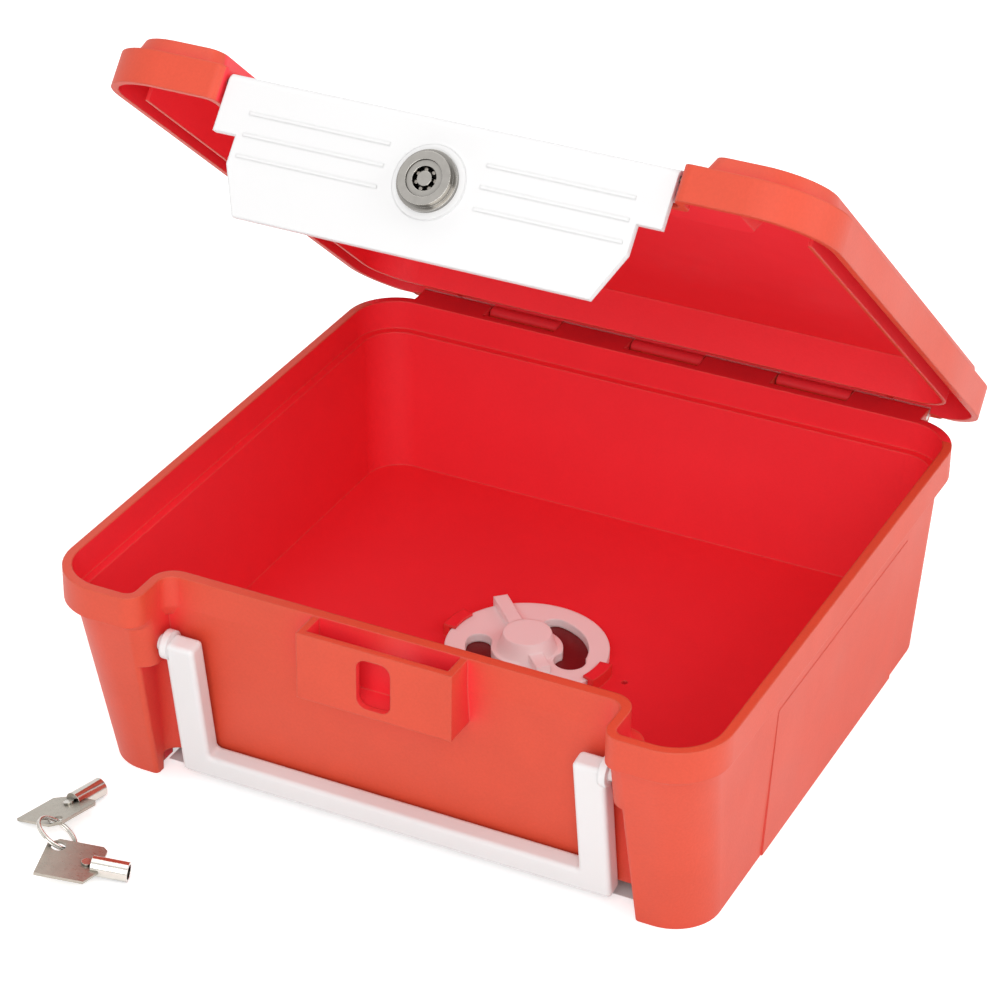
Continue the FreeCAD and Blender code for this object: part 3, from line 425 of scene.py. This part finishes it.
def red_plastic(name, finish, inside_values, edge_values, shadow_patch_values):
    """Grained red with painted light: a deeper red on inner faces for the light bouncing inside,
    painted shade in nooks, a painted highlight on edges and a painted shadow in a round patch.
    """
    material, tree, shader = new_material(name)
    grain = place_group(tree, moulded_grain_group(), Grain_per_metre=1 / finish.grain_size)
    inside = place_group(tree, facing_inside_group(), **inside_values)
    edge = place_group(tree, opening_edge_group(), **edge_values)
    grains = tree.math("ADD", grain.outputs["Mottle"], grain.outputs["Height"])
    mottle = tree.math("MULTIPLY", grains, 0.5)
    # Painted light: inner faces get the deeper red that stands in for light bouncing inside.
    outer = mottled(tree, mottle, finish.outside_red, *OUTSIDE_MOTTLE)
    inner = mottled(tree, mottle, finish.inside_bounce_red, *INSIDE_MOTTLE)
    # Painted shade: ambient occlusion turns nooks towards the deeper inside red, added to the painted
    # bounce red on inner faces; rim edges keep the outer red.
    open_air = tree.add("ShaderNodeAmbientOcclusion", "Nooks", samples=NOOK_SAMPLES, only_local=True)
    open_air.inputs["Distance"].default_value = finish.nook_shade
    nook_shade = stretch(tree, open_air.outputs["AO"], *NOOK_SHADE_RANGE, 0, 1)
    bounce_and_nook_shade = tree.math("MAXIMUM", inside.outputs["Mask"], nook_shade)
    bounce_and_nook_shade = tree.math("MULTIPLY", bounce_and_nook_shade, tree.math("SUBTRACT", 1, edge.outputs["Mask"]))
    body = mix_colours(tree, bounce_and_nook_shade, outer, inner)
    # Painted highlight: edges are mixed towards the lighter red.
    lit = mix_colours(tree, painted_edge_highlight(tree, finish.edge_round), body, finish.edge_highlight_red)
    # Painted shadow: a dark red ring on the tub floor under the disc, seen through the disc's slots.
    shaded = place_group(tree, round_patch_group(), **shadow_patch_values)
    painted_shade = shade(finish.inside_bounce_red, PATCH_SHADE)
    tree.link(mix_colours(tree, shaded.outputs["Mask"], lit, painted_shade), shader.inputs["Base Color"])
    tree.link(spread(tree, grain.outputs["Shine"], *RED_ROUGHNESS), shader.inputs["Roughness"])
    shader.inputs["Specular IOR Level"].default_value = PLASTIC_SPECULAR
    raise_surface(tree, shader, grain.outputs["Height"], finish.grain_depth, finish.edge_round)
    return material


def smooth_plastic(name, finish, colour):
    """Even plastic with a coarser and flatter grain than the red."""
    material, tree, shader = new_material(name)
    grain = place_group(tree, moulded_grain_group(), Grain_per_metre=1 / (finish.grain_size * 2))
    body = mottled(tree, grain.outputs["Mottle"], colour, *SMOOTH_MOTTLE)
    tree.link(body, shader.inputs["Base Color"])
    tree.link(spread(tree, grain.outputs["Shine"], *SMOOTH_ROUGHNESS), shader.inputs["Roughness"])
    shader.inputs["Specular IOR Level"].default_value = PLASTIC_SPECULAR
    raise_surface(tree, shader, grain.outputs["Height"], finish.grain_depth / 3, finish.edge_round)
    return material


def plated_metal(name, finish, colour, roughness, edge_round):
    """Plated metal that is dull, with painted shade darkening its crevices."""
    material, tree, shader = new_material(name)
    drawn = place_group(tree, drawn_metal_group(), Lines_per_metre=DRAWN_LINES_PER_METRE)
    bright = mottled(tree, drawn.outputs["Marks"], colour, *METAL_MOTTLE)
    # Painted shade: ambient occlusion darkens the metal in its crevices.
    crevice_shade = tree.add("ShaderNodeAmbientOcclusion", "Crevices", samples=CREVICE_SAMPLES)
    crevice_shade.inputs["Distance"].default_value = finish.crevice_shade
    painted_shade = shade(colour, CREVICE_SHADE)
    tree.link(mix_colours(tree, crevice_shade.outputs["AO"], painted_shade, bright), shader.inputs["Base Color"])
    dull = spread(tree, drawn.outputs["Lines"], roughness * BRIGHT_SHARE, roughness * DULL_SHARE)
    tree.link(dull, shader.inputs["Roughness"])
    shader.inputs["Metallic"].default_value = 1
    raise_surface(tree, shader, drawn.outputs["Lines"], finish.grain_depth / 6, edge_round)
    return material


def dress(names, material):
    for name in names:
        mesh = NODES[name].data
        mesh.materials.clear()
        mesh.materials.append(material)


class STORAGEBOX_OT_red_shells(bpy.types.Operator):
    """Gives the tub and the lid their grained red, with a deeper red painted on the faces that look
    inwards for the light bouncing inside, painted shade in nooks, painted edge highlights and a
    painted shadow under the disc
    """

    bl_idname = "storage_box.red_shells"
    bl_label = "Red tub and lid"

    def execute(self, context):
        finish = finish_of(context)
        low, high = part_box("box_tub")
        handle_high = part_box("carry_handle")[1]
        tub_inside = {"Centre": (0, (low.y + high.y) / 2, high.z * 2),
                      "Recess_half": handle_high.x + finish.wall, "Recess_back": handle_high.y}
        tub_edge = {"Point": (0, 0, high.z), "Outwards": (0, 0, 1), "Depth": finish.edge_depth,
                    "Back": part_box("hinge_pin")[0].y - finish.hinge_strip}
        joints = {joint["name"]: joint for joint in frame["joints"]}
        # Painted shadow: the tub floor under the disc is painted dark within this radius.
        disc_low, disc_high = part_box("turn_disc")
        shadow_under_disc = {"Centre": joints["disc_turn"]["pos_m"],
                      "Radius": (disc_high.x - disc_low.x) * PATCH_SHARE,
                      "Half_height": finish.edge_depth}
        dress(("box_tub",), red_plastic("red_plastic_tub", finish, tub_inside, tub_edge, shadow_under_disc))
        hinge = Vector(joints["lid_hinge"]["pos_m"])
        back = Vector(joints["lock_turn"]["axis"])
        lid_low, lid_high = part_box("box_lid")
        lid_middle = lid_low.y + (lid_high.y - lid_low.y) * LID_CENTRE_SHARE
        lid_inside = {"Centre": (0, lid_middle, hinge.z + LID_CENTRE_RISE),
                      "Recess_half": 0, "Recess_back": 0}
        lid_edge = {"Point": hinge, "Outwards": back.cross((1, 0, 0)), "Depth": finish.edge_depth,
                    "Back": lid_high.y}
        no_shadow_patch = {"Centre": hinge, "Radius": 0, "Half_height": 0}
        dress(("box_lid",), red_plastic("red_plastic_lid", finish, lid_inside, lid_edge, no_shadow_patch))
        return {"FINISHED"}


class STORAGEBOX_OT_white_fittings(bpy.types.Operator):
    """Gives the front flap and the carry handle their smooth white"""

    bl_idname = "storage_box.white_fittings"
    bl_label = "White flap and handle"

    def execute(self, context):
        finish = finish_of(context)
        dress(("front_flap", "carry_handle"), smooth_plastic("white_plastic", finish, finish.white))
        return {"FINISHED"}


class STORAGEBOX_OT_turn_disc(bpy.types.Operator):
    """Gives the disc on the tub floor its pale plastic"""

    bl_idname = "storage_box.turn_disc"
    bl_label = "Turn disc"

    def execute(self, context):
        finish = finish_of(context)
        dress(("turn_disc",), smooth_plastic("disc_plastic", finish, finish.disc_white))
        return {"FINISHED"}


class STORAGEBOX_OT_lock(bpy.types.Operator):
    """Plates the lock, its fixings and its cam"""

    bl_idname = "storage_box.lock"
    bl_label = "Lock"

    def execute(self, context):
        finish = finish_of(context)
        edge = finish.edge_round / 3
        dress(("lock_housing", "lock_core"),
              plated_metal("lock_nickel", finish, finish.lock_nickel, 0.16, edge))
        dress(LOCK_FIXINGS, plated_metal("lock_steel", finish, finish.steel, 0.3, edge))
        return {"FINISHED"}


class STORAGEBOX_OT_rods(bpy.types.Operator):
    """Gives the hinge pin and the flap rod a drawn steel"""

    bl_idname = "storage_box.rods"
    bl_label = "Hinge pin and flap rod"

    def execute(self, context):
        finish = finish_of(context)
        edge = finish.edge_round / 4
        dress(("hinge_pin", "flap_rod"), plated_metal("rod_steel", finish, finish.steel, 0.3, edge))
        return {"FINISHED"}


class STORAGEBOX_OT_keys(bpy.types.Operator):
    """Gives the keys and their ring a plated finish"""

    bl_idname = "storage_box.keys"
    bl_label = "Keys and ring"

    def execute(self, context):
        finish = finish_of(context)
        edge = finish.edge_round / 5
        dress(KEY_TUBES, plated_metal("key_nickel", finish, finish.nickel, 0.14, edge))
        dress(KEY_PLATES, plated_metal("key_plate_steel", finish, finish.plate_steel, 0.34, edge))
        dress(KEY_RIVETS + ("key_ring",),
              plated_metal("key_ring_steel", finish, finish.nickel, 0.2, edge))
        return {"FINISHED"}


def add_lamp(name, aim, offset, side, power):
    """Square lamp that stands off from the point that it lights."""
    lamp = bpy.data.lights.new(name, "AREA")
    lamp.size = side
    lamp.energy = power
    holder = bpy.data.objects.new(name, lamp)
    holder.location = aim + Vector(offset)
    holder.rotation_euler = (-Vector(offset)).to_track_quat("-Z", "Y").to_euler()
    bpy.context.scene.collection.objects.link(holder)


def add_camera(stage):
    """Camera at the viewing angle, with its view axis turned by the roll."""
    azimuth, elevation, roll = stage.camera_azimuth, stage.camera_elevation, stage.camera_roll
    back = Vector((math.sin(azimuth) * math.cos(elevation), -math.cos(azimuth) * math.cos(elevation),
                   math.sin(elevation)))
    right = Vector((0, 0, 1)).cross(back).normalized()
    up = back.cross(right)
    across = right * math.cos(roll) + up * math.sin(roll)
    upward = up * math.cos(roll) - right * math.sin(roll)
    lens = bpy.data.cameras.new("view")
    lens.lens = stage.camera_lens
    lens.sensor_width = SENSOR_WIDTH
    lens.shift_x, lens.shift_y = CAMERA_SHIFT
    holder = bpy.data.objects.new("view", lens)
    turn = Matrix((across, upward, back)).transposed().to_4x4()
    holder.matrix_world = Matrix.Translation(stage.camera_place) @ turn
    bpy.context.scene.collection.objects.link(holder)
    bpy.context.scene.camera = holder


def seen_directly(tree):
    """1 for what the camera, a mirror or a glass sees, and 0 for light that falls on the object."""
    path = tree.add("ShaderNodeLightPath")
    seen = tree.math("MAXIMUM", path.outputs["Is Camera Ray"], path.outputs["Is Glossy Ray"])
    return tree.math("MAXIMUM", seen, path.outputs["Is Transmission Ray"])


def white_sky(strength):
    """World that is seen as white and lights the object at its own strength."""
    world = bpy.data.worlds.new("studio")
    world.use_nodes = True
    bpy.context.scene.world = world
    tree = Tree(world.node_tree)
    background = world.node_tree.nodes["Background"]
    level = stretch(tree, seen_directly(tree), 0, 1, strength, 1)
    tree.link(level, background.inputs["Strength"])
    background.inputs["Color"].default_value = (1, 1, 1, 1)


def floor_white(inset):
    """Pale floor that is lifted to white where it is seen beside the tub and keeps the shadow."""
    material, tree, shader = new_material("floor_white")
    place = tree.add("ShaderNodeTexCoord").outputs["Object"]
    speckle = tree.add("ShaderNodeTexNoise")
    speckle.inputs["Scale"].default_value = FLOOR_SPECKLE
    tree.link(place, speckle.inputs["Vector"])
    low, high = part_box("box_tub")
    split = tree.add("ShaderNodeSeparateXYZ")
    tree.link(place, split.inputs[0])
    under = 1
    for axis in ("X", "Y"):
        near, far = getattr(low, axis.lower()) + inset, getattr(high, axis.lower()) - inset
        offset = tree.math("SUBTRACT", split.outputs[axis], (near + far) / 2)
        offset = tree.math("ABSOLUTE", offset, 0)
        under = tree.math("MULTIPLY", tree.math("LESS_THAN", offset, (far - near) / 2), under)
    beside = tree.math("SUBTRACT", 1, under)
    greys = [(grey, grey, grey) for grey in FLOOR_GREYS]
    tree.link(mix_colours(tree, speckle.outputs["Fac"], *greys), shader.inputs["Base Color"])
    shader.inputs["Roughness"].default_value = FLOOR_ROUGHNESS
    shader.inputs["Specular IOR Level"].default_value = 0
    shader.inputs["Emission Color"].default_value = (1, 1, 1, 1)
    lift = tree.math("MULTIPLY", seen_directly(tree), FLOOR_LIFT)
    tree.link(tree.math("MULTIPLY", lift, beside), shader.inputs["Emission Strength"])
    return material


class STORAGEBOX_OT_stage(bpy.types.Operator):
    """Sets the floor, the soft lamps and the camera"""

    bl_idname = "storage_box.stage"
    bl_label = "Stage"

    def execute(self, context):
        stage = context.scene.storage_box_stage
        bpy.ops.object.select_all(action="DESELECT")
        bpy.ops.mesh.primitive_plane_add(size=stage.floor_width)
        floor = context.active_object
        floor.name = "floor"
        floor.data.materials.append(floor_white(stage.floor_inset))
        white_sky(stage.sky_strength)
        low, high = START_BOX
        middle = (Vector(low) + Vector(high)) / 2
        for name, offset, side, share in LAMPS:
            add_lamp(name, middle, offset, side, stage.lamp_power * share)
        add_camera(stage)
        context.scene.view_settings.view_transform = "Standard"
        return {"FINISHED"}


PIECES = (STORAGEBOX_OT_red_shells, STORAGEBOX_OT_white_fittings, STORAGEBOX_OT_turn_disc,
          STORAGEBOX_OT_lock, STORAGEBOX_OT_rods, STORAGEBOX_OT_keys, STORAGEBOX_OT_stage)


class STORAGEBOX_PT_sidebar(bpy.types.Panel):
    """Lists the finishes and the stage"""

    bl_idname = "STORAGEBOX_PT_sidebar"
    bl_label = "Storage box"
    bl_space_type = "VIEW_3D"
    bl_region_type = "UI"
    bl_category = "Storage box"

    def draw(self, context):
        for settings in (finish_of(context), context.scene.storage_box_stage):
            for name in settings.__annotations__:
                self.layout.prop(settings, name)
        for piece in PIECES:
            self.layout.operator(piece.bl_idname)


CLASSES = (StorageBoxFinish, StorageBoxStage, *PIECES, STORAGEBOX_PT_sidebar)


def register():
    for item in CLASSES:
        bpy.utils.register_class(item)
    bpy.types.Scene.storage_box_finish = PointerProperty(type=StorageBoxFinish)
    bpy.types.Scene.storage_box_stage = PointerProperty(type=StorageBoxStage)


def unregister():
    del bpy.types.Scene.storage_box_stage
    del bpy.types.Scene.storage_box_finish
    for item in reversed(CLASSES):
        bpy.utils.unregister_class(item)


def main():
    register()
    bpy.ops.storage_box.red_shells()
    bpy.ops.storage_box.white_fittings()
    bpy.ops.storage_box.turn_disc()
    bpy.ops.storage_box.lock()
    bpy.ops.storage_box.rods()
    bpy.ops.storage_box.keys()
    bpy.ops.storage_box.stage()


if __name__ == "__main__":
    main()
